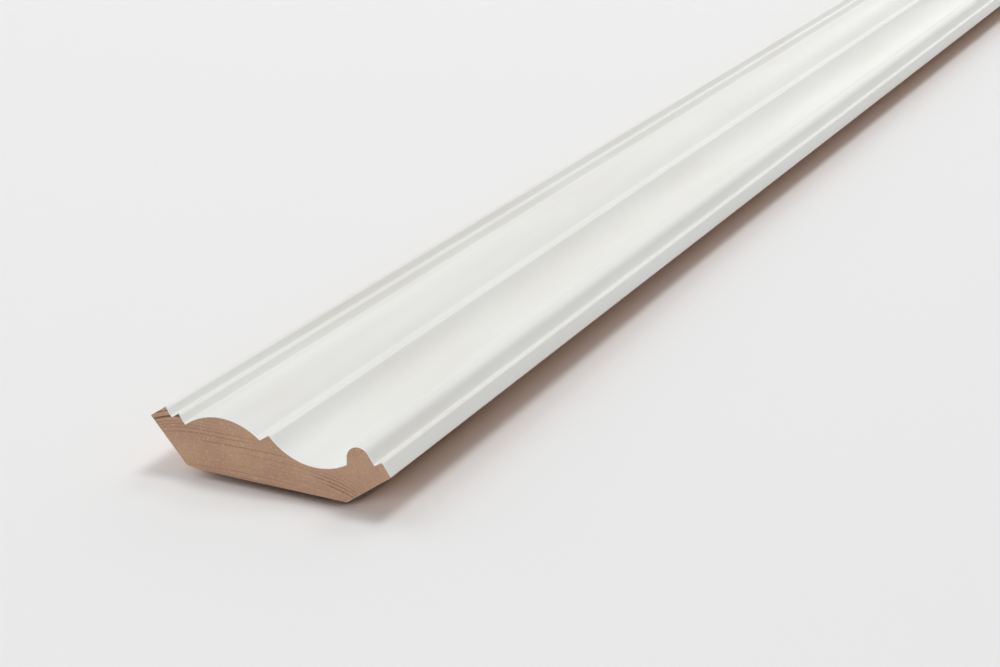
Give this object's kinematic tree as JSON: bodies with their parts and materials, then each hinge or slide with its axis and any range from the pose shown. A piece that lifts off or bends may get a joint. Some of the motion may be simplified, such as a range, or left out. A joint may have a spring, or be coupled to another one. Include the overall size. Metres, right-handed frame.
{
  "type": "crown moulding length",
  "caption": "Straight length of primed softwood crown moulding: stepped ceiling edge, roll, cove and bead on the face, flat back, bevelled wall and ceiling seats, ends sawn square.",
  "frame": {"origin": "on the plane of the flat back, under the middle of the piece's box", "axes": "+Y along the length from the near sawn end to the far one, +Z from the flat back to the moulded face, +X from the ceiling edge to the wall edge"},
  "size_m": [0.0938, 1, 0.021],
  "materials": {
    "primed_softwood": "softwood, white satin primer on the moulded face, bare sawn ends, bare planed back and seats"
  },
  "bodies": {
    "root": {"crown_moulding": "primed_softwood"}
  },
  "joints": []
}
